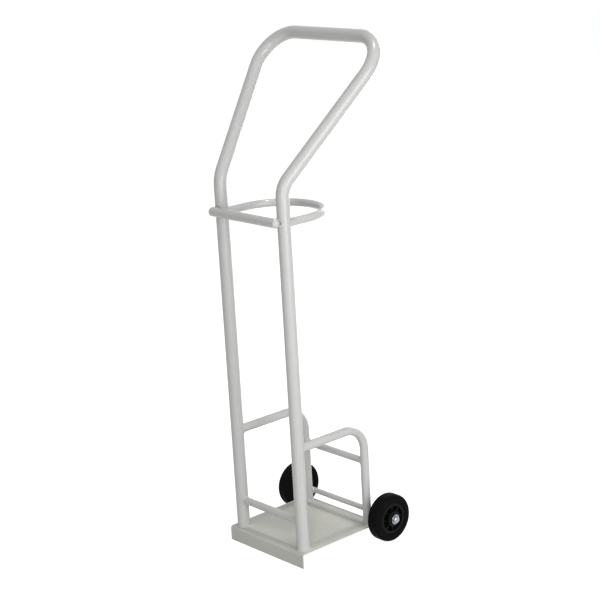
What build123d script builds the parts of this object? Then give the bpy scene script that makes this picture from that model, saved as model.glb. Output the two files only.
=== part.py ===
"""Gas cylinder trolley: welded tube frame, base plate and two rubber wheels.

Millimetres, +Z up, +X along the axle to the right, +Y from the front to the wheels.
The origin is on the floor, in the middle of the overall width and depth.
"""

from build123d import *
import os

os.makedirs("parts", exist_ok=True)

# Main frame tube: uprights, swept-back branches and handle bar
overall_height = 1350.0
handle_corner_spacing = 466.3
main_tube_d = 33.7
main_tube_wall = 2.6
upright_spacing = 240.0
knee_height = 998.0
handle_setback = 286.5
knee_radius = 67.4
corner_radius = 86.0

# Retaining ring, a set distance below the bend of the uprights
ring_tube_d = 20.0
ring_tube_wall = 2.0
ring_drop = 91.5
ring_centre_setback = 78.0

# Front bar and its domed caps
front_bar_d = 24.0
front_bar_wall = 2.0
front_bar_above_ring = 6.0
front_bar_overhang = 3.5
front_cap_height = 7.5
front_cap_plug_depth = 12.0

# Low bar between the uprights
low_bar_d = 20.0
low_bar_wall = 2.0
low_bar_height = 116.0

# Side tubes with the rear legs
side_tube_d = 23.0
side_tube_wall = 2.0
side_tube_height = 314.0
rear_leg_inset = 3.0
rear_leg_setback = 235.5
side_bend_radius = 65.0

# Rear cross tube
cross_tube_d = 18.0
cross_tube_wall = 2.0
cross_tube_drop = 101.0

# Base plate with its front edge folded down to the floor
plate_side_margin = 8.0
plate_top_height = 40.0
plate_thickness = 3.0
plate_front_reach = 26.0
plate_rear_margin = 4.0
plate_bend_radius = 7.0
plate_corner_radius = 4.0

# Wheels
wheel_d = 128.0
tyre_width = 38.0
tyre_section_height = 23.0
tyre_shoulder_radius = 9.0
tyre_lip_height = 4.0
tyre_lip_inset = 2.0
tyre_rib_depth = 3.0
tyre_rib_width = 20.0
wheel_plate_gap = 15.65
rim_width = 34.0
rim_thickness = 6.5
web_thickness = 8.0
hub_d = 42.0
hub_length = 44.0
rib_count = 8
rib_thickness = 4.0
rib_inset = 3.0
rib_overlap = 1.0

# Axle and what holds the wheels on it
axle_d = 15.0
axle_end_reach = 5.0
axle_chamfer = 1.0
washer_d = 26.0
washer_thickness = 2.5
washer_bore_clearance = 0.25
wheel_end_play = 0.5
collar_d = 24.0
collar_width = 10.0
cap_flange_width = 3.5
cap_flange_thickness = 1.2
cap_wall = 1.0
cap_dome_side_gap = 1.0
cap_dome_end_gap = 3.0
cap_dome_straight = 3.5
fit_clearance = 0.05

# Roller bearing in each hub
roller_d = 4.0
roller_count = 10
roller_length = 34.0
roller_running_clearance = 0.05
roller_pocket_clearance = 0.1
sleeve_wall = 1.5
cage_thickness = 2.2
cage_end_margin = 3.0

# Derived places
main_r = main_tube_d / 2
axle_setback = rear_leg_setback + side_tube_d / 2 + axle_d / 2
front_reach = main_r + front_bar_d
rear_reach = axle_setback + wheel_d / 2
upright_y = (front_reach - rear_reach) / 2
upright_x = upright_spacing / 2
handle_x = handle_corner_spacing / 2
handle_y = upright_y + handle_setback
handle_z = overall_height - main_r
leg_x = upright_x - rear_leg_inset
leg_y = upright_y + rear_leg_setback
axle_y = upright_y + axle_setback
axle_z = wheel_d / 2
ring_height = knee_height - ring_drop
front_bar_height = ring_height + front_bar_above_ring
cross_tube_height = side_tube_height - cross_tube_drop
plate_half_width = upright_x + main_r + plate_side_margin
wheel_x = plate_half_width + wheel_plate_gap + tyre_width / 2
front_bar_y = upright_y - main_r - front_bar_d / 2
hub_outer_x = wheel_x + hub_length / 2
hub_inner_x = wheel_x - hub_length / 2
outer_washer_x = hub_outer_x + wheel_end_play
inner_washer_x = hub_inner_x - wheel_end_play - washer_thickness
cap_x = outer_washer_x + washer_thickness
axle_half_length = cap_x + axle_end_reach
tyre_r = wheel_d / 2
tyre_seat_r = tyre_r - tyre_section_height
rim_bore_r = tyre_seat_r - rim_thickness
roller_circle_r = axle_d / 2 + roller_running_clearance + roller_d / 2
sleeve_bore_r = roller_circle_r + roller_d / 2 + roller_running_clearance
sleeve_r = sleeve_bore_r + sleeve_wall
hub_bore_r = sleeve_r + fit_clearance


def cross_plane(x):
    """Plane square to the axle direction at x, with its normal along +X."""
    return Plane(origin=(x, 0, 0), x_dir=(0, 1, 0), z_dir=(1, 0, 0))


def swept_rod(path, diameter, mode=Mode.ADD):
    """Round section of this diameter carried along a path."""
    with BuildSketch(path ^ 0) as section:
        Circle(diameter / 2)
    sweep(sections=section.sketch, path=path, mode=mode)


def swept_tube(path, diameter, wall):
    """Tube of this outer diameter and wall carried along a path."""
    swept_rod(path, diameter)
    swept_rod(path, diameter - 2 * wall, mode=Mode.SUBTRACT)


def cross_rod(x_start, x_end, y, z, diameter, mode=Mode.ADD):
    """Round rod parallel to the axle between two places along it."""
    with BuildSketch(cross_plane(x_start)) as section:
        with Locations((y, z)):
            Circle(diameter / 2)
    extrude(section.sketch, amount=x_end - x_start, mode=mode)


def cross_tube(half_length, y, z, diameter, wall):
    """Tube parallel to the axle, the same length to both sides."""
    cross_rod(-half_length, half_length, y, z, diameter)
    cross_rod(-half_length, half_length, y, z, diameter - 2 * wall, mode=Mode.SUBTRACT)


def axle_ring(x_start, x_end, outer_d, bore_d):
    """Ring about the axle line between two places along it."""
    cross_rod(x_start, x_end, axle_y, axle_z, outer_d)
    cross_rod(x_start, x_end, axle_y, axle_z, bore_d, mode=Mode.SUBTRACT)


with BuildPart() as main_frame_tube:
    with BuildLine() as main_path:
        FilletPolyline(
            (-upright_x, upright_y, plate_top_height),
            (-upright_x, upright_y, knee_height),
            (-handle_x, handle_y, handle_z),
            (handle_x, handle_y, handle_z),
            (upright_x, upright_y, knee_height),
            (upright_x, upright_y, plate_top_height),
            radius=[knee_radius, corner_radius, corner_radius, knee_radius],
        )
    swept_tube(main_path.line, main_tube_d, main_tube_wall)
main_frame_tube.part.label = "main_frame_tube"
export_step(main_frame_tube.part, "parts/main_frame_tube.step")

# The space inside the main tube's outer skin, which copes the tubes welded to it
with BuildPart() as main_frame_space:
    swept_rod(main_path.line, main_tube_d)

# The ring's arms line up with the uprights and its half circle joins them
ring_y = upright_y + ring_centre_setback
with BuildPart() as retaining_ring:
    with BuildLine() as ring_path:
        Line((-upright_x, upright_y, ring_height), (-upright_x, ring_y, ring_height))
        ThreePointArc(
            (-upright_x, ring_y, ring_height),
            (0, ring_y + upright_x, ring_height),
            (upright_x, ring_y, ring_height),
        )
        Line((upright_x, ring_y, ring_height), (upright_x, upright_y, ring_height))
    swept_tube(ring_path.line, ring_tube_d, ring_tube_wall)
    add(main_frame_space.part, mode=Mode.SUBTRACT)
retaining_ring.part.label = "retaining_ring"
export_step(retaining_ring.part, "parts/retaining_ring.step")

front_bar_half_length = upright_x + front_bar_overhang
with BuildPart() as front_bar:
    cross_tube(front_bar_half_length, front_bar_y, front_bar_height, front_bar_d, front_bar_wall)
front_bar.part.label = "front_bar"
export_step(front_bar.part, "parts/front_bar.step")

# Each cap has a plug inside the bar and a dome that covers its end
cap_plug_r = front_bar_d / 2 - front_bar_wall - fit_clearance
cap_plane = Plane(
    origin=(front_bar_half_length, front_bar_y, front_bar_height),
    x_dir=(1, 0, 0),
    z_dir=(0, -1, 0),
)
dome_sphere_r = ((front_bar_d / 2) ** 2 + front_cap_height**2) / (2 * front_cap_height)
with BuildPart() as front_bar_caps:
    with BuildSketch(cap_plane):
        with BuildLine():
            Polyline(
                (front_cap_height, 0),
                (-front_cap_plug_depth, 0),
                (-front_cap_plug_depth, cap_plug_r),
                (0, cap_plug_r),
                (0, front_bar_d / 2),
            )
            RadiusArc((0, front_bar_d / 2), (front_cap_height, 0), dome_sphere_r)
        make_face()
    revolve(axis=Axis((0, front_bar_y, front_bar_height), (1, 0, 0)))
    mirror(about=Plane.YZ)
front_bar_caps.part.label = "front_bar_caps"
export_step(front_bar_caps.part, "parts/front_bar_caps.step")

with BuildPart() as low_bar:
    cross_tube(upright_x, upright_y, low_bar_height, low_bar_d, low_bar_wall)
    add(main_frame_space.part, mode=Mode.SUBTRACT)
low_bar.part.label = "low_bar"
export_step(low_bar.part, "parts/low_bar.step")

# Each side tube leaves its upright straight back and bends down to be the rear leg
leg_spaces = []
for side, side_name in ((-1, "left"), (1, "right")):
    with BuildPart() as side_tube:
        with BuildLine() as side_path:
            FilletPolyline(
                (side * leg_x, upright_y, side_tube_height),
                (side * leg_x, leg_y, side_tube_height),
                (side * leg_x, leg_y, plate_top_height),
                radius=side_bend_radius,
            )
        swept_tube(side_path.line, side_tube_d, side_tube_wall)
        add(main_frame_space.part, mode=Mode.SUBTRACT)
    side_tube.part.label = "side_tube_" + side_name
    export_step(side_tube.part, "parts/side_tube_" + side_name + ".step")
    with BuildPart() as leg_space:
        swept_rod(side_path.line, side_tube_d)
    leg_spaces.append(leg_space.part)

with BuildPart() as rear_cross_tube:
    cross_tube(leg_x, leg_y, cross_tube_height, cross_tube_d, cross_tube_wall)
    add(leg_spaces, mode=Mode.SUBTRACT)
rear_cross_tube.part.label = "rear_cross_tube"
export_step(rear_cross_tube.part, "parts/rear_cross_tube.step")

# Sheet bent down at the front, where its edge stands on the floor
plate_front_y = upright_y - plate_front_reach
plate_rear_y = leg_y + side_tube_d / 2 + plate_rear_margin
with BuildPart() as base_plate:
    with BuildSketch(cross_plane(-plate_half_width)):
        with BuildLine() as plate_line:
            FilletPolyline(
                (plate_rear_y, plate_top_height),
                (plate_front_y, plate_top_height),
                (plate_front_y, 0),
                radius=plate_bend_radius,
            )
            FilletPolyline(
                (plate_rear_y, plate_top_height - plate_thickness),
                (plate_front_y + plate_thickness, plate_top_height - plate_thickness),
                (plate_front_y + plate_thickness, 0),
                radius=plate_bend_radius - plate_thickness,
            )
            Line((plate_rear_y, plate_top_height), (plate_rear_y, plate_top_height - plate_thickness))
            Line((plate_front_y, 0), (plate_front_y + plate_thickness, 0))
        make_face()
    extrude(amount=2 * plate_half_width)
    rear_corners = base_plate.edges().filter_by(Axis.Z).group_by(Axis.Y)[-1]
    fillet(rear_corners, plate_corner_radius)
base_plate.part.label = "base_plate"
export_step(base_plate.part, "parts/base_plate.step")

with BuildPart() as axle:
    cross_rod(-axle_half_length, axle_half_length, axle_y, axle_z, axle_d)
    chamfer(axle.faces().filter_by(Axis.X).edges(), axle_chamfer)
axle.part.label = "axle"
export_step(axle.part, "parts/axle.step")

with BuildPart() as axle_collars:
    axle_ring(
        inner_washer_x - collar_width,
        inner_washer_x,
        collar_d,
        axle_d + 2 * fit_clearance,
    )
    chamfer(axle_collars.faces().filter_by(Axis.X).sort_by(Axis.X)[0].edges(), axle_chamfer)
    mirror(about=Plane.YZ)
axle_collars.part.label = "axle_collars"
export_step(axle_collars.part, "parts/axle_collars.step")

for washer_x, washer_name in ((inner_washer_x, "inner"), (outer_washer_x, "outer")):
    with BuildPart() as washers:
        axle_ring(
            washer_x,
            washer_x + washer_thickness,
            washer_d,
            axle_d + 2 * washer_bore_clearance,
        )
        mirror(about=Plane.YZ)
    washers.part.label = washer_name + "_washers"
    export_step(washers.part, "parts/" + washer_name + "_washers.step")

# Domed caps pushed on the axle ends, gripping them with the bore of their flange
push_cap_plane = Plane(origin=(cap_x, axle_y, axle_z), x_dir=(1, 0, 0), z_dir=(0, -1, 0))
dome_inner_top = axle_end_reach + cap_dome_end_gap
dome_top = dome_inner_top + cap_wall
dome_inner_r = axle_d / 2 + cap_dome_side_gap
dome_r = dome_inner_r + cap_wall
with BuildPart() as push_on_caps:
    with BuildSketch(push_cap_plane):
        with BuildLine():
            Polyline(
                (dome_inner_top, 0),
                (dome_top, 0),
            )
            Spline(
                (dome_top, 0),
                (cap_dome_straight, dome_r),
                tangents=((0, 1), (-1, 0)),
            )
            Polyline(
                (cap_dome_straight, dome_r),
                (cap_flange_thickness, dome_r),
                (cap_flange_thickness, dome_r + cap_flange_width),
                (0, dome_r + cap_flange_width),
                (0, axle_d / 2 + fit_clearance),
                (cap_flange_thickness, axle_d / 2 + fit_clearance),
                (cap_flange_thickness, dome_inner_r),
                (cap_dome_straight, dome_inner_r),
            )
            Spline(
                (cap_dome_straight, dome_inner_r),
                (dome_inner_top, 0),
                tangents=((1, 0), (0, -1)),
            )
        make_face()
    revolve(axis=Axis((0, axle_y, axle_z), (1, 0, 0)))
    mirror(about=Plane.YZ)
push_on_caps.part.label = "push_on_caps"
export_step(push_on_caps.part, "parts/push_on_caps.step")

# Both wheels are the same, each about its own middle on the axle line
for side, side_name in ((-1, "left"), (1, "right")):
    middle_x = side * wheel_x
    wheel_axis = Axis((middle_x, axle_y, axle_z), (1, 0, 0))
    wheel_plane = Plane(origin=(middle_x, axle_y, axle_z), x_dir=(1, 0, 0), z_dir=(0, -1, 0))
    bearing_plane = Plane(origin=(middle_x, axle_y, axle_z), x_dir=(0, 1, 0), z_dir=(1, 0, 0))

    with BuildPart() as tyre:
        with BuildSketch(wheel_plane):
            with BuildLine():
                Polyline(
                    (tyre_rib_width / 2, tyre_seat_r - tyre_rib_depth),
                    (tyre_rib_width / 2, tyre_seat_r),
                    (tyre_width / 2 - tyre_lip_inset, tyre_seat_r),
                    (tyre_width / 2 - tyre_lip_inset, tyre_seat_r + tyre_lip_height),
                    (tyre_width / 2, tyre_seat_r + tyre_lip_height + tyre_lip_inset),
                    (tyre_width / 2, tyre_r - tyre_shoulder_radius),
                )
                RadiusArc(
                    (tyre_width / 2, tyre_r - tyre_shoulder_radius),
                    (tyre_width / 2 - tyre_shoulder_radius, tyre_r),
                    -tyre_shoulder_radius,
                )
                Line((tyre_width / 2 - tyre_shoulder_radius, tyre_r), (0, tyre_r))
                Line((0, tyre_seat_r - tyre_rib_depth), (tyre_rib_width / 2, tyre_seat_r - tyre_rib_depth))
                Line((0, tyre_r), (0, tyre_seat_r - tyre_rib_depth))
            make_face()
            mirror(about=Plane.YZ)
        revolve(axis=wheel_axis)
    tyre.part.label = "tyre_" + side_name
    export_step(tyre.part, "parts/tyre_" + side_name + ".step")

    with BuildPart() as wheel_centre:
        with BuildSketch(wheel_plane):
            with Locations((0, rim_bore_r)):
                Rectangle(rim_width, rim_thickness, align=(Align.CENTER, Align.MIN))
            with Locations((0, tyre_seat_r)):
                Rectangle(
                    tyre_rib_width,
                    tyre_rib_depth,
                    align=(Align.CENTER, Align.MAX),
                    mode=Mode.SUBTRACT,
                )
            with Locations((0, hub_bore_r)):
                Rectangle(hub_length, hub_d / 2 - hub_bore_r, align=(Align.CENTER, Align.MIN))
                Rectangle(web_thickness, rim_bore_r - hub_bore_r, align=(Align.CENTER, Align.MIN))
        revolve(axis=wheel_axis)
        rib_height = rim_width - 2 * rib_inset
        rib_span = rim_bore_r - hub_d / 2 + 2 * rib_overlap
        with BuildSketch(bearing_plane.offset(-rib_height / 2)):
            with PolarLocations(hub_d / 2 - rib_overlap, rib_count):
                Rectangle(rib_span, rib_thickness, align=(Align.MIN, Align.CENTER))
        extrude(amount=rib_height)
    wheel_centre.part.label = "wheel_centre_" + side_name
    export_step(wheel_centre.part, "parts/wheel_centre_" + side_name + ".step")

    with BuildPart() as bearing_sleeve:
        axle_ring(
            middle_x - hub_length / 2,
            middle_x + hub_length / 2,
            2 * sleeve_r,
            2 * sleeve_bore_r,
        )
    bearing_sleeve.part.label = "bearing_sleeve_" + side_name
    export_step(bearing_sleeve.part, "parts/bearing_sleeve_" + side_name + ".step")

    cage_length = roller_length + 2 * cage_end_margin
    with BuildPart() as roller_cage:
        axle_ring(
            middle_x - cage_length / 2,
            middle_x + cage_length / 2,
            2 * roller_circle_r + cage_thickness,
            2 * roller_circle_r - cage_thickness,
        )
        pocket_length = roller_length + 2 * roller_pocket_clearance
        with BuildSketch(bearing_plane.offset(-pocket_length / 2)):
            with PolarLocations(roller_circle_r, roller_count):
                Circle(roller_d / 2 + roller_pocket_clearance)
        extrude(amount=pocket_length, mode=Mode.SUBTRACT)
    roller_cage.part.label = "roller_cage_" + side_name
    export_step(roller_cage.part, "parts/roller_cage_" + side_name + ".step")

    with BuildPart() as rollers:
        with BuildSketch(bearing_plane.offset(-roller_length / 2)):
            with PolarLocations(roller_circle_r, roller_count):
                Circle(roller_d / 2)
        extrude(amount=roller_length)
    rollers.part.label = "rollers_" + side_name
    export_step(rollers.part, "parts/rollers_" + side_name + ".step")
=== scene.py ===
"""Gas cylinder trolley: powder-coated tube frame, folded base plate and two rubber wheels."""

import math

import bpy
from bpy.props import FloatProperty, FloatVectorProperty, PointerProperty
from mathutils import Matrix, Vector


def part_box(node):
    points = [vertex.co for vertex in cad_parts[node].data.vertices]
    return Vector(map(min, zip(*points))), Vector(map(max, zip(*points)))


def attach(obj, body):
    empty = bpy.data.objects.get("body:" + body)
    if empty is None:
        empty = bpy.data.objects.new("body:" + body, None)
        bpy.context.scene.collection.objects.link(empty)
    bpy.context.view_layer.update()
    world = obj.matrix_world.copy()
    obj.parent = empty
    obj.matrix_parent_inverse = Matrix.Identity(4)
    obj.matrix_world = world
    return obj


bl_info = {
    "name": "Gas Cylinder Trolley",
    "version": (1, 0, 0),
    "blender": (4, 5, 0),
    "location": "View3D > Sidebar > Trolley",
    "description": "Paint, weld beads, rubber and zinc for a gas cylinder trolley, and its studio",
    "category": "Object",
}

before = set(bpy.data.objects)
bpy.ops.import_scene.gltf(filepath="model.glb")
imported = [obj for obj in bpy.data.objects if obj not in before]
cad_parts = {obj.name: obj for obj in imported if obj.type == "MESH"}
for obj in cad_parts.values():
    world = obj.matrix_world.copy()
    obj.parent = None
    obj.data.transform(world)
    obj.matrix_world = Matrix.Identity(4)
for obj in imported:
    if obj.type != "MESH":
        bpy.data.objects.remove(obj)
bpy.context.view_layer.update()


def middle_and_half(node, axis):
    """Middle and half the size of a node's box along one axis."""
    low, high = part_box(node)
    return (low[axis] + high[axis]) / 2, (high[axis] - low[axis]) / 2


# Places and radii of the frame tubes, read from the frame
PLATE_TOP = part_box("base_plate")[1][2]
UPRIGHT_Y = middle_and_half("low_bar", 1)[0]
UPRIGHT_R = UPRIGHT_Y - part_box("main_frame_tube")[0][1]
LOW_BAR_Z, LOW_BAR_R = middle_and_half("low_bar", 2)
RING_Z, RING_R = middle_and_half("retaining_ring", 2)
UPRIGHT_X = middle_and_half("retaining_ring", 0)[1] - RING_R
FRONT_BAR_Y, FRONT_BAR_R = middle_and_half("front_bar", 1)
FRONT_BAR_Z = middle_and_half("front_bar", 2)[0]
LEG_X, LEG_R = middle_and_half("side_tube_right", 0)
LEG_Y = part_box("side_tube_right")[1][1] - LEG_R
SIDE_TUBE_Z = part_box("side_tube_right")[1][2] - LEG_R
CROSS_TUBE_Z, CROSS_TUBE_R = middle_and_half("rear_cross_tube", 2)
AXLE_Y, AXLE_R = middle_and_half("axle", 1)
AXLE_Z = middle_and_half("axle", 2)[0]
WHEEL_X = middle_and_half("tyre_right", 0)[0]

UP = Vector((0, 0, 1))
BACKWARD = (0, 1, 0)
FULL_TURN = 2 * math.pi
WHITE = (1, 1, 1, 1)

# Points on the path of one weld: round a tube that ends on another, and round a bar that passes one
TUBE_WELD_POINTS = 48
BAR_WELD_POINTS = 32
# The weld beside a passing bar runs where the two tubes are this many bead radii apart
BAR_WELD_GAP = 1.5
# A bead is a tube with this many sides, and has this many rows of them on one ripple
BEAD_SIDES = 10
ROWS_PER_RIPPLE = 5.0

# Colours of the bearings, which stay hidden in the wheels
BEARING_STEEL_COLOUR = "B4B6B8"
CAGE_COLOUR = "2A2A2A"

# A wave texture repeats every 0.314 / scale metres: every 1 mm and every 2.9 mm here
GROUND_LINE_SCALE = 320.0
MOULD_LINE_SCALE = 110.0

# Drag marks for each metre across, along and above the plate: about 2.6 mm wide and 45 mm long
DRAG_MARK_SCALE = (380, 22, 60)

# The floor's paper is this grey, and glows by this much where it is seen, which makes it white
FLOOR_HALF_SIZE = 8
PAPER_GREY = (0.45, 0.45, 0.45, 1)
PAPER_GLOW = 0.88

# Softboxes in metres: place, point that it is turned to, width and height
SOFTBOXES = {
    "side": ((3.0, -0.5, 1.2), (0, 0, 0.7), 1.8, 2.4),
    "front": ((2.3, -2.65, 1.2), (0, 0, 0.7), 0.7, 2.0),
    "rear": ((-1.2, 3.0, 1.2), (0, 0, 0.7), 1.6, 2.4),
    "top": ((0.1, 0.8, 6.0), (0, 0, 0.4), 0.4, 0.4),
}

# The photograph's camera, found by fitting the trolley's edges to it: angles in degrees,
# place in metres, sensor and lens in millimetres
CAMERA_YAW = 48.91
CAMERA_PITCH = 15.33
CAMERA_ROLL = -3.32
CAMERA_PLACE = (3.05212, UPRIGHT_Y - 2.51907, 1.77012)
CAMERA_SENSOR = 36
CAMERA_LENS = 96.65
CAMERA_CLIP_START = 0.1


def linear(hex_colour):
    """Linear colour of an sRGB hex value such as C8C8C2."""
    channels = [int(hex_colour[i : i + 2], 16) / 255 for i in (0, 2, 4)]
    return tuple(
        c / 12.92 if c <= 0.04045 else ((c + 0.055) / 1.055) ** 2.4 for c in channels
    )


class TrolleyFinish(bpy.types.PropertyGroup):
    """Colours and surface sizes of the trolley's materials."""

    paint_colour: FloatVectorProperty(
        name="Paint",
        description="Colour of the powder coat on the tubes",
        subtype="COLOR",
        default=linear("C1C1BF"),
        min=0,
        max=1,
    )
    plate_colour: FloatVectorProperty(
        name="Plate Paint",
        description="Colour of the same powder coat on the plate, warmed by a film of dust",
        subtype="COLOR",
        default=linear("C8C8C0"),
        min=0,
        max=1,
    )
    paint_peel_size: FloatProperty(
        name="Orange Peel",
        description="Width of one ripple in the powder coat",
        default=0.0025,
        min=0.0005,
        max=0.01,
        unit="LENGTH",
    )
    rubber_colour: FloatVectorProperty(
        name="Rubber",
        description="Colour of the solid tyres",
        subtype="COLOR",
        default=linear("0C0C0C"),
        min=0,
        max=1,
    )
    wheel_colour: FloatVectorProperty(
        name="Wheel Plastic",
        description="Colour of the moulded wheel centres",
        subtype="COLOR",
        default=linear("0B0B0B"),
        min=0,
        max=1,
    )
    # Zinc for the washers and collars, darkened below real zinc: painted shade standing in for the
    # dark surroundings it would mirror
    zinc_colour_darkened_as_painted_shade: FloatVectorProperty(
        name="Zinc",
        description="Colour of the plated washers and collars",
        subtype="COLOR",
        default=linear("7C7F84"),
        min=0,
        max=1,
    )
    # Zinc for the caps, lighter than the washers' zinc so that the cap's highlight spreads wider: a
    # painted highlight
    zinc_colour_lightened_as_painted_highlight: FloatVectorProperty(
        name="Zinc With Painted Highlight",
        description="Colour of the caps pushed on the axle ends",
        subtype="COLOR",
        default=linear("A2A5A9"),
        min=0,
        max=1,
    )


class TrolleyWelds(bpy.types.PropertyGroup):
    """Sizes of the weld beads."""

    bead_radius: FloatProperty(
        name="Bead Radius",
        description="Half the width of a weld bead",
        default=0.0024,
        min=0.0005,
        max=0.006,
        unit="LENGTH",
    )
    ripple_pitch: FloatProperty(
        name="Ripple Pitch",
        description="Distance from one ripple of a bead to the next",
        default=0.0022,
        min=0.0005,
        max=0.01,
        unit="LENGTH",
    )
    ripple_depth: FloatProperty(
        name="Ripple Depth",
        description="How far a bead's ripples rise and fall, as a share of its radius",
        default=0.12,
        min=0,
        max=0.5,
    )


class TrolleyStage(bpy.types.PropertyGroup):
    """Strengths of the studio lights."""

    side_light: FloatProperty(
        name="Side Light",
        description="Power of the large softbox at the trolley's right side",
        default=62,
        min=0,
        unit="POWER",
    )
    front_light: FloatProperty(
        name="Front Light",
        description="Power of the narrow softbox beside the camera",
        default=33,
        min=0,
        unit="POWER",
    )
    rear_light: FloatProperty(
        name="Rear Light",
        description="Power of the softbox behind the trolley",
        default=36,
        min=0,
        unit="POWER",
    )
    top_light: FloatProperty(
        name="Top Light",
        description="Power of the softbox high above the trolley",
        default=82,
        min=0,
        unit="POWER",
    )
    surround: FloatProperty(
        name="Surround",
        description="Brightness of the room around the trolley",
        default=0.31,
        min=0,
        max=1,
    )


def add_object(name, data):
    """New object that holds this data, linked to the scene."""
    item = bpy.data.objects.new(name, data)
    bpy.context.scene.collection.objects.link(item)
    return item


def empty_tree(owner):
    """Node tree of a material or a world, with nothing in it."""
    owner.use_nodes = True
    owner.node_tree.nodes.clear()
    return owner.node_tree


def add_node(tree, kind, settings=None, inputs=None):
    """Add one node, set its properties and input values, and link the inputs given as sockets."""
    node = tree.nodes.new(kind)
    for name, value in (settings or {}).items():
        setattr(node, name, value)
    for name, value in (inputs or {}).items():
        if isinstance(value, bpy.types.NodeSocket):
            tree.links.new(value, node.inputs[name])
        else:
            node.inputs[name].default_value = value
    return node


def new_material(name):
    """Node material with its output, its surface shader and its Object coordinates."""
    material = bpy.data.materials.new(name)
    tree = empty_tree(material)
    shader = add_node(tree, "ShaderNodeBsdfPrincipled")
    add_node(tree, "ShaderNodeOutputMaterial", inputs={"Surface": shader.outputs[0]})
    place = add_node(tree, "ShaderNodeTexCoord").outputs["Object"]
    return material, tree, shader, place


def spread(tree, pattern, low, high):
    """Turn a pattern, which keeps near its middle, into values from low to high."""
    return add_node(
        tree,
        "ShaderNodeMapRange",
        inputs={0: pattern, 1: 0.3, 2: 0.7, 3: low, 4: high},
    ).outputs[0]


def cloudy(tree, place, size, low, high, detail=2.0):
    """Value that drifts from low to high in soft patches about this many metres wide."""
    patches = add_node(
        tree,
        "ShaderNodeTexNoise",
        inputs={"Vector": place, "Scale": 1 / size, "Detail": detail, "Roughness": 0.5},
    )
    return spread(tree, patches.outputs["Fac"], low, high)


def colour_surface(tree, shader, colour, tone):
    """Colour a surface, multiplied by a grey tone that varies over it."""
    mix = add_node(
        tree,
        "ShaderNodeMix",
        {"data_type": "RGBA", "blend_type": "MULTIPLY"},
        {0: 1, 6: (*colour, 1), 7: tone},
    )
    tree.links.new(mix.outputs[2], shader.inputs["Base Color"])


def roughen(tree, shader, place, size, strength, depth, detail=2.0, lines=None):
    """Fine bumps about this many metres wide, joined by half as high lines where they are given."""
    height = add_node(
        tree,
        "ShaderNodeTexNoise",
        inputs={"Vector": place, "Scale": 1 / size, "Detail": detail, "Roughness": 0.5},
    ).outputs["Fac"]
    if lines is not None:
        height = add_node(
            tree,
            "ShaderNodeMath",
            {"operation": "MULTIPLY_ADD"},
            {0: lines, 1: 0.5, 2: height},
        ).outputs[0]
    bump = add_node(
        tree,
        "ShaderNodeBump",
        inputs={"Height": height, "Strength": strength, "Distance": depth},
    )
    tree.links.new(bump.outputs[0], shader.inputs["Normal"])


def drag_marks(tree, place):
    """Tone of the long faint marks that the feet of steel cylinders leave on the plate."""
    stretched = add_node(
        tree,
        "ShaderNodeMapping",
        inputs={"Vector": place, "Scale": DRAG_MARK_SCALE},
    ).outputs[0]
    marks = add_node(
        tree,
        "ShaderNodeTexNoise",
        inputs={"Vector": stretched, "Scale": 1.0, "Detail": 3.0, "Distortion": 0.6},
    ).outputs["Fac"]
    return add_node(
        tree,
        "ShaderNodeMapRange",
        inputs={0: marks, 1: 0.58, 2: 0.72, 3: 1.0, 4: 0.94},
    ).outputs[0]


def powder_coat(name, finish, colour, scuffed=False):
    """Powder-coated mild steel: sprayed dry and baked, so even and opaque, half gloss,
    with a fine orange peel that softens the edge of each highlight."""
    material, tree, shader, place = new_material(name)
    tone = cloudy(tree, place, size=0.045, low=0.965, high=1.0)
    if scuffed:
        # Sliding cylinders dull the coat
        shader.inputs["Specular IOR Level"].default_value = 0.3
        roughness = cloudy(tree, place, size=0.018, low=0.42, high=0.52)
        tone = add_node(
            tree,
            "ShaderNodeMath",
            {"operation": "MULTIPLY"},
            {0: tone, 1: drag_marks(tree, place)},
        ).outputs[0]
    else:
        roughness = cloudy(tree, place, size=0.018, low=0.2, high=0.25)
    colour_surface(tree, shader, colour, tone)
    tree.links.new(roughness, shader.inputs["Roughness"])
    # Real orange peel is about 1 mm wide, too fine for the picture, so it is drawn coarser
    peel = finish.paint_peel_size
    roughen(tree, shader, place, peel, strength=0.06, depth=0.0004, detail=1.0)
    return material


def zinc_plate(name, colour):
    """Zinc-plated steel: bluish silver, with a faint cloud from the bath."""
    material, tree, shader, place = new_material(name)
    shader.inputs["Metallic"].default_value = 1
    colour_surface(tree, shader, colour, cloudy(tree, place, size=0.004, low=0.86, high=1.0))
    roughness = cloudy(tree, place, size=0.002, low=0.2, high=0.34, detail=3.0)
    tree.links.new(roughness, shader.inputs["Roughness"])
    # Tumbled stampings keep fine dents, about 0.6 mm wide
    roughen(tree, shader, place, size=0.0006, strength=0.15, depth=0.0001)
    return material


def bearing_steel():
    """Hardened bearing steel: centreless ground, so it has fine lines round its length."""
    material, tree, shader, place = new_material("Ground bearing steel")
    shader.inputs["Metallic"].default_value = 1
    lines = add_node(
        tree,
        "ShaderNodeTexWave",
        {"wave_type": "BANDS", "bands_direction": "X"},
        {"Vector": place, "Scale": GROUND_LINE_SCALE, "Distortion": 2.0, "Detail": 2.0},
    ).outputs["Fac"]
    tone = spread(tree, lines, 0.88, 1.0)
    colour_surface(tree, shader, linear(BEARING_STEEL_COLOUR), tone)
    tree.links.new(spread(tree, lines, 0.2, 0.32), shader.inputs["Roughness"])
    return material


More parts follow.
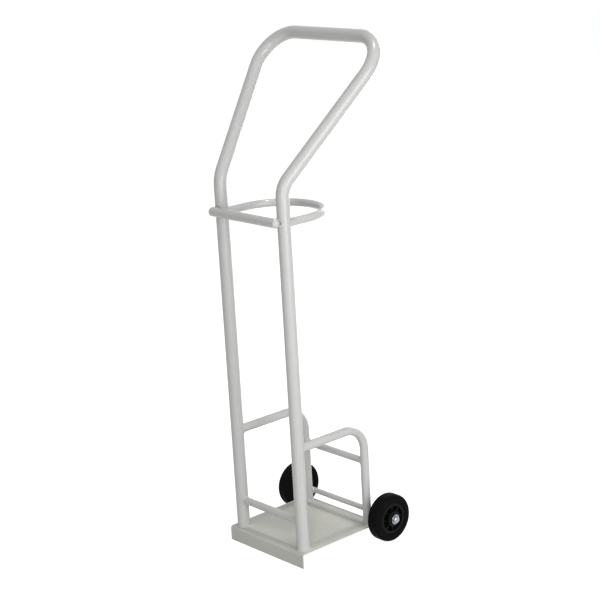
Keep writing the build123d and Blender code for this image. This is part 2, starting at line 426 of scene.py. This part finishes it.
def tyre_rubber(finish, side, side_name):
    """Solid black rubber: moulded and vulcanised, dull, with faint turning lines of the mould
    round the axle and a dusty bloom on the tread."""
    material, tree, shader, place = new_material("Vulcanised rubber " + side_name)
    shader.inputs["Specular IOR Level"].default_value = 0.04
    # The pattern is measured from the middle of this wheel, so its lines go round the axle
    wheel = add_node(
        tree,
        "ShaderNodeMapping",
        inputs={"Vector": place, "Location": (-side * WHEEL_X, -AXLE_Y, -AXLE_Z)},
    ).outputs[0]
    bloom = cloudy(tree, wheel, size=0.012, low=0.75, high=1.15, detail=4.0)
    colour_surface(tree, shader, finish.rubber_colour, bloom)
    roughness = cloudy(tree, wheel, size=0.006, low=0.62, high=0.8)
    tree.links.new(roughness, shader.inputs["Roughness"])
    # Turning lines are under 1 mm apart, too fine for the picture, so they are drawn coarser
    rings = add_node(
        tree,
        "ShaderNodeTexWave",
        {"wave_type": "RINGS", "rings_direction": "X"},
        {"Vector": wheel, "Scale": MOULD_LINE_SCALE, "Distortion": 0.4, "Detail": 1.0},
    ).outputs["Fac"]
    roughen(tree, shader, wheel, size=0.0009, strength=0.35, depth=0.0003, lines=rings)
    return material


def moulded_plastic(name, colour, grain_size):
    """Injection-moulded black plastic: fine spark-eroded grain from the tool, half matte."""
    material, tree, shader, place = new_material(name)
    shader.inputs["Specular IOR Level"].default_value = 0.08
    colour_surface(tree, shader, colour, cloudy(tree, place, size=0.01, low=0.8, high=1.1))
    roughness = cloudy(tree, place, size=0.005, low=0.42, high=0.55)
    tree.links.new(roughness, shader.inputs["Roughness"])
    roughen(tree, shader, place, grain_size, strength=0.3, depth=0.0002)
    return material


def give(material, *nodes):
    """Give carried-over nodes a material."""
    for node in nodes:
        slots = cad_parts[node].data.materials
        slots.clear()
        slots.append(material)


def turn_angles(count):
    """Angles of this many even steps once round."""
    return [FULL_TURN * step / count for step in range(count)]


def tube_on_tube(start, direction, radius, post, post_r):
    """Closed path where a level tube, running from start along direction, meets an upright."""
    start = Vector(start)
    direction = Vector(direction)
    side = direction.cross(UP)
    points = []
    for angle in turn_angles(TUBE_WELD_POINTS):
        point = start + radius * (math.cos(angle) * side + math.sin(angle) * UP)
        away = Vector((point.x - post[0], point.y - post[1], 0))
        along = away.dot(direction)
        reach_squared = along * along - away.length_squared + post_r * post_r
        reach = -along + math.sqrt(max(reach_squared, 0))
        points.append(point + direction * reach)
    return points


def post_on_plate(x, y, radius):
    """Closed path round the foot of a tube that stands on the plate."""
    return [
        Vector((x + radius * math.cos(angle), y + radius * math.sin(angle), PLATE_TOP))
        for angle in turn_angles(TUBE_WELD_POINTS)
    ]


def bar_past_post(post, post_r, bar_y, bar_z, bar_r, bead):
    """Closed path round the spot where a level bar lies against an upright."""
    gap = BAR_WELD_GAP * bead
    toward = 1 if bar_y > post[1] else -1
    half_width = math.sqrt(2 * post_r * gap)
    half_height = math.sqrt(2 * bar_r * gap)
    points = []
    for angle in turn_angles(BAR_WELD_POINTS):
        x = half_width * math.cos(angle)
        z = half_height * math.sin(angle)
        post_skin = post[1] + toward * math.sqrt(post_r**2 - x**2)
        bar_skin = bar_y - toward * math.sqrt(bar_r**2 - z**2)
        points.append(Vector((post[0] + x, (post_skin + bar_skin) / 2, bar_z + z)))
    return points


def weld_paths(bead):
    """Every welded joint of the frame, as closed paths."""
    paths = []
    for side in (-1, 1):
        post = (side * UPRIGHT_X, UPRIGHT_Y)
        leg = (side * LEG_X, LEG_Y)
        side_tube_start = (leg[0], post[1], SIDE_TUBE_Z)
        inward = (-side, 0, 0)
        paths += [
            tube_on_tube((*post, RING_Z), BACKWARD, RING_R, post, UPRIGHT_R),
            tube_on_tube((*post, LOW_BAR_Z), inward, LOW_BAR_R, post, UPRIGHT_R),
            tube_on_tube(side_tube_start, BACKWARD, LEG_R, post, UPRIGHT_R),
            tube_on_tube((*leg, CROSS_TUBE_Z), inward, CROSS_TUBE_R, leg, LEG_R),
            post_on_plate(*post, UPRIGHT_R),
            post_on_plate(*leg, LEG_R),
            bar_past_post(post, UPRIGHT_R, FRONT_BAR_Y, FRONT_BAR_Z, FRONT_BAR_R, bead),
            bar_past_post(leg, LEG_R, AXLE_Y, AXLE_Z, AXLE_R, bead),
        ]
    return paths


def wire_mesh(paths):
    """Mesh of edges only that follows some closed paths."""
    vertices = []
    edges = []
    for path in paths:
        first = len(vertices)
        count = len(path)
        vertices.extend(path)
        edges.extend((first + step, first + (step + 1) % count) for step in range(count))
    mesh = bpy.data.meshes.new("weld_paths")
    mesh.from_pydata(vertices, edges, [])
    return mesh


def weld_bead_tree():
    """Geometry nodes that lay a rippled bead along each path of a wire mesh."""
    tree = bpy.data.node_groups.new("Weld bead", "GeometryNodeTree")
    sockets = tree.interface
    sockets.new_socket("Geometry", in_out="INPUT", socket_type="NodeSocketGeometry")
    for name in ("Bead Radius", "Ripple Pitch", "Ripple Depth"):
        sockets.new_socket(name, in_out="INPUT", socket_type="NodeSocketFloat")
    sockets.new_socket("Material", in_out="INPUT", socket_type="NodeSocketMaterial")
    sockets.new_socket("Geometry", in_out="OUTPUT", socket_type="NodeSocketGeometry")
    given = add_node(tree, "NodeGroupInput").outputs

    # Rows along each path
    curve = add_node(tree, "GeometryNodeMeshToCurve", inputs={"Mesh": given["Geometry"]})
    spacing = add_node(
        tree,
        "ShaderNodeMath",
        {"operation": "DIVIDE"},
        {0: given["Ripple Pitch"], 1: ROWS_PER_RIPPLE},
    )
    rows = add_node(
        tree,
        "GeometryNodeResampleCurve",
        {"mode": "LENGTH"},
        {"Curve": curve.outputs[0], "Length": spacing.outputs[0]},
    )

    # The radius rises and falls once for each ripple
    travelled = add_node(tree, "GeometryNodeSplineParameter").outputs["Length"]
    ripples = add_node(
        tree,
        "ShaderNodeMath",
        {"operation": "DIVIDE"},
        {0: travelled, 1: given["Ripple Pitch"]},
    )
    phase = add_node(
        tree,
        "ShaderNodeMath",
        {"operation": "MULTIPLY"},
        {0: ripples.outputs[0], 1: FULL_TURN},
    )
    wave = add_node(tree, "ShaderNodeMath", {"operation": "SINE"}, {0: phase.outputs[0]})
    share = add_node(
        tree,
        "ShaderNodeMath",
        {"operation": "MULTIPLY_ADD"},
        {0: wave.outputs[0], 1: given["Ripple Depth"], 2: 1.0},
    )
    radius = add_node(
        tree,
        "ShaderNodeMath",
        {"operation": "MULTIPLY"},
        {0: share.outputs[0], 1: given["Bead Radius"]},
    )

    # A round bead of that radius, under the powder coat
    section = add_node(
        tree,
        "GeometryNodeCurvePrimitiveCircle",
        inputs={"Resolution": BEAD_SIDES, "Radius": 1.0},
    )
    bead = add_node(
        tree,
        "GeometryNodeCurveToMesh",
        inputs={
            "Curve": rows.outputs[0],
            "Profile Curve": section.outputs[0],
            "Scale": radius.outputs[0],
        },
    )
    smooth = add_node(tree, "GeometryNodeSetShadeSmooth", inputs={"Geometry": bead.outputs[0]})
    real = add_node(tree, "GeometryNodeRealizeInstances", inputs={"Geometry": smooth.outputs[0]})
    coated = add_node(
        tree,
        "GeometryNodeSetMaterial",
        inputs={"Geometry": real.outputs[0], "Material": given["Material"]},
    )
    add_node(tree, "NodeGroupOutput", inputs={"Geometry": coated.outputs[0]})
    return tree


def bake(wire, tree, values, name):
    """Run a node tree on a wire object and keep the result as a plain mesh piece."""
    modifier = wire.modifiers.new("Bead", "NODES")
    modifier.node_group = tree
    for socket in tree.interface.items_tree:
        if socket.in_out == "INPUT" and socket.name in values:
            modifier[socket.identifier] = values[socket.name]
    graph = bpy.context.evaluated_depsgraph_get()
    mesh = bpy.data.meshes.new_from_object(wire.evaluated_get(graph))
    mesh.name = name
    piece = add_object(name, mesh)
    wire.modifiers.remove(modifier)
    bpy.data.objects.remove(wire)
    return piece


class TROLLEY_OT_paint_frame(bpy.types.Operator):
    """Powder-coat the frame tubes, the axle bar and the base plate"""

    bl_idname = "trolley.paint_frame"
    bl_label = "Paint Frame"

    def execute(self, context):
        finish = context.scene.trolley_finish
        tubes = powder_coat("Powder coated steel tube", finish, finish.paint_colour)
        sheet = powder_coat(
            "Powder coated steel sheet", finish, finish.plate_colour, scuffed=True
        )
        give(
            tubes,
            "main_frame_tube",
            "retaining_ring",
            "front_bar",
            "front_bar_caps",
            "low_bar",
            "side_tube_left",
            "side_tube_right",
            "rear_cross_tube",
            "axle",
        )
        give(sheet, "base_plate")
        return {"FINISHED"}


class TROLLEY_OT_weld_beads(bpy.types.Operator):
    """Lay a rippled bead round every welded joint, under the same powder coat"""

    bl_idname = "trolley.weld_beads"
    bl_label = "Weld Beads"

    def execute(self, context):
        welds = context.scene.trolley_welds
        wire = add_object("weld_paths", wire_mesh(weld_paths(welds.bead_radius)))
        values = {
            "Bead Radius": welds.bead_radius,
            "Ripple Pitch": welds.ripple_pitch,
            "Ripple Depth": welds.ripple_depth,
            "Material": bpy.data.materials["Powder coated steel tube"],
        }
        beads = bake(wire, weld_bead_tree(), values, "weld_beads")
        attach(beads, "frame")
        return {"FINISHED"}


class TROLLEY_OT_axle_hardware(bpy.types.Operator):
    """Zinc-plate the collars, the washers and the caps on the axle"""

    bl_idname = "trolley.axle_hardware"
    bl_label = "Axle Hardware"

    def execute(self, context):
        finish = context.scene.trolley_finish
        # Washers and collars take the zinc darkened as painted shade
        painted_shade_zinc = zinc_plate("Zinc plated steel", finish.zinc_colour_darkened_as_painted_shade)
        # The caps take the zinc lightened as a painted highlight
        painted_highlight_zinc = zinc_plate("Bright zinc plated steel", finish.zinc_colour_lightened_as_painted_highlight)
        give(painted_shade_zinc, "axle_collars", "inner_washers", "outer_washers")
        give(painted_highlight_zinc, "push_on_caps")
        return {"FINISHED"}


class TROLLEY_OT_wheels(bpy.types.Operator):
    """Finish both wheels: rubber tyre, moulded centre and roller bearing"""

    bl_idname = "trolley.wheels"
    bl_label = "Wheels"

    def execute(self, context):
        finish = context.scene.trolley_finish
        centre = moulded_plastic("Moulded polypropylene", finish.wheel_colour, grain_size=0.0008)
        cage = moulded_plastic("Moulded nylon", linear(CAGE_COLOUR), grain_size=0.0005)
        steel = bearing_steel()
        for side, side_name in ((-1, "left"), (1, "right")):
            give(tyre_rubber(finish, side, side_name), "tyre_" + side_name)
            give(centre, "wheel_centre_" + side_name)
            give(steel, "bearing_sleeve_" + side_name, "rollers_" + side_name)
            give(cage, "roller_cage_" + side_name)
        return {"FINISHED"}


def seen_ray(tree):
    """1 for a ray that shows its surface to the eye: seen, mirrored or through glass."""
    rays = add_node(tree, "ShaderNodeLightPath").outputs
    total = rays["Is Camera Ray"]
    for name in ("Is Glossy Ray", "Is Transmission Ray"):
        total = add_node(
            tree,
            "ShaderNodeMath",
            {"operation": "MAXIMUM"},
            {0: total, 1: rays[name]},
        ).outputs[0]
    return total


def studio_floor():
    """Seamless white studio floor: it shows as white, keeps the soft shadow and sends light up."""
    half = FLOOR_HALF_SIZE
    corners = [(-half, -half, 0), (half, -half, 0), (half, half, 0), (-half, half, 0)]
    mesh = bpy.data.meshes.new("studio_floor")
    mesh.from_pydata(corners, [], [(0, 1, 2, 3)])
    material = bpy.data.materials.new("White studio paper")
    tree = empty_tree(material)
    matte = add_node(tree, "ShaderNodeBsdfDiffuse", inputs={"Color": PAPER_GREY})
    strength = add_node(
        tree,
        "ShaderNodeMath",
        {"operation": "MULTIPLY"},
        {0: seen_ray(tree), 1: PAPER_GLOW},
    ).outputs[0]
    glow = add_node(tree, "ShaderNodeEmission", inputs={"Color": WHITE, "Strength": strength})
    paper = add_node(
        tree,
        "ShaderNodeAddShader",
        inputs={0: matte.outputs[0], 1: glow.outputs[0]},
    )
    add_node(tree, "ShaderNodeOutputMaterial", inputs={"Surface": paper.outputs[0]})
    mesh.materials.append(material)
    add_object("studio_floor", mesh)


def studio_world(surround):
    """Even light from the room, and plain white where the room itself is seen."""
    world = bpy.data.worlds.new("Studio room")
    tree = empty_tree(world)
    strength = add_node(
        tree,
        "ShaderNodeMapRange",
        inputs={0: seen_ray(tree), 3: surround, 4: 1.0},
    ).outputs[0]
    room = add_node(tree, "ShaderNodeBackground", inputs={"Color": WHITE, "Strength": strength})
    add_node(tree, "ShaderNodeOutputWorld", inputs={"Surface": room.outputs[0]})
    bpy.context.scene.world = world


def softbox(name, place, target, width, height, power):
    """Rectangular area light at place, turned to its target."""
    light = bpy.data.lights.new(name, "AREA")
    light.shape = "RECTANGLE"
    light.size = width
    light.size_y = height
    light.energy = power
    lamp = add_object(name, light)
    lamp.location = place
    aim = Vector(target) - Vector(place)
    lamp.rotation_euler = aim.to_track_quat("-Z", "Y").to_euler()


def photo_camera():
    """Camera at the photograph's place: above the handle, looking down from the right front."""
    yaw, pitch, roll = (math.radians(a) for a in (CAMERA_YAW, CAMERA_PITCH, CAMERA_ROLL))
    level = math.cos(pitch)
    ahead = Vector((-math.sin(yaw) * level, math.cos(yaw) * level, -math.sin(pitch)))
    right = Vector((math.cos(yaw), math.sin(yaw), 0))
    up = right.cross(ahead)
    rolled_right = math.cos(roll) * right + math.sin(roll) * up
    rolled_up = -math.sin(roll) * right + math.cos(roll) * up
    turn = Matrix((rolled_right, rolled_up, -ahead)).transposed()
    camera = add_object("photo_camera", bpy.data.cameras.new("photo_camera"))
    camera.data.sensor_width = CAMERA_SENSOR
    camera.data.lens = CAMERA_LENS
    camera.data.clip_start = CAMERA_CLIP_START
    camera.matrix_world = Matrix.Translation(CAMERA_PLACE) @ turn.to_4x4()
    bpy.context.scene.camera = camera


class TROLLEY_OT_studio(bpy.types.Operator):
    """Set up the white floor, the soft lights and the camera"""

    bl_idname = "trolley.studio"
    bl_label = "Studio"

    def execute(self, context):
        stage = context.scene.trolley_stage
        context.scene.view_settings.view_transform = "Standard"
        studio_floor()
        studio_world(stage.surround)
        for name, box in SOFTBOXES.items():
            softbox(name + "_softbox", *box, getattr(stage, name + "_light"))
        photo_camera()
        return {"FINISHED"}


class TROLLEY_PT_panel(bpy.types.Panel):
    """Sizes, colours and steps of the trolley"""

    bl_label = "Gas Cylinder Trolley"
    bl_idname = "TROLLEY_PT_panel"
    bl_space_type = "VIEW_3D"
    bl_region_type = "UI"
    bl_category = "Trolley"

    def draw(self, context):
        for group in GROUPS:
            settings = getattr(context.scene, group)
            box = self.layout.box()
            for name in settings.bl_rna.properties.keys():
                if name not in ("rna_type", "name"):
                    box.prop(settings, name)
        for step in STEPS:
            self.layout.operator(step.bl_idname)


GROUPS = {
    "trolley_finish": TrolleyFinish,
    "trolley_welds": TrolleyWelds,
    "trolley_stage": TrolleyStage,
}
STEPS = (
    TROLLEY_OT_paint_frame,
    TROLLEY_OT_weld_beads,
    TROLLEY_OT_axle_hardware,
    TROLLEY_OT_wheels,
    TROLLEY_OT_studio,
)


def register():
    """Register every class, and give each scene its property groups."""
    for kind in (*GROUPS.values(), *STEPS, TROLLEY_PT_panel):
        bpy.utils.register_class(kind)
    for name, group in GROUPS.items():
        setattr(bpy.types.Scene, name, PointerProperty(type=group))


def unregister():
    """Take the property groups and the classes away again."""
    for name in GROUPS:
        delattr(bpy.types.Scene, name)
    for kind in reversed((*GROUPS.values(), *STEPS, TROLLEY_PT_panel)):
        bpy.utils.unregister_class(kind)


def main():
    """Run every step in order."""
    register()
    bpy.ops.trolley.paint_frame()
    bpy.ops.trolley.weld_beads()
    bpy.ops.trolley.axle_hardware()
    bpy.ops.trolley.wheels()
    bpy.ops.trolley.studio()


if __name__ == "__main__":
    main()
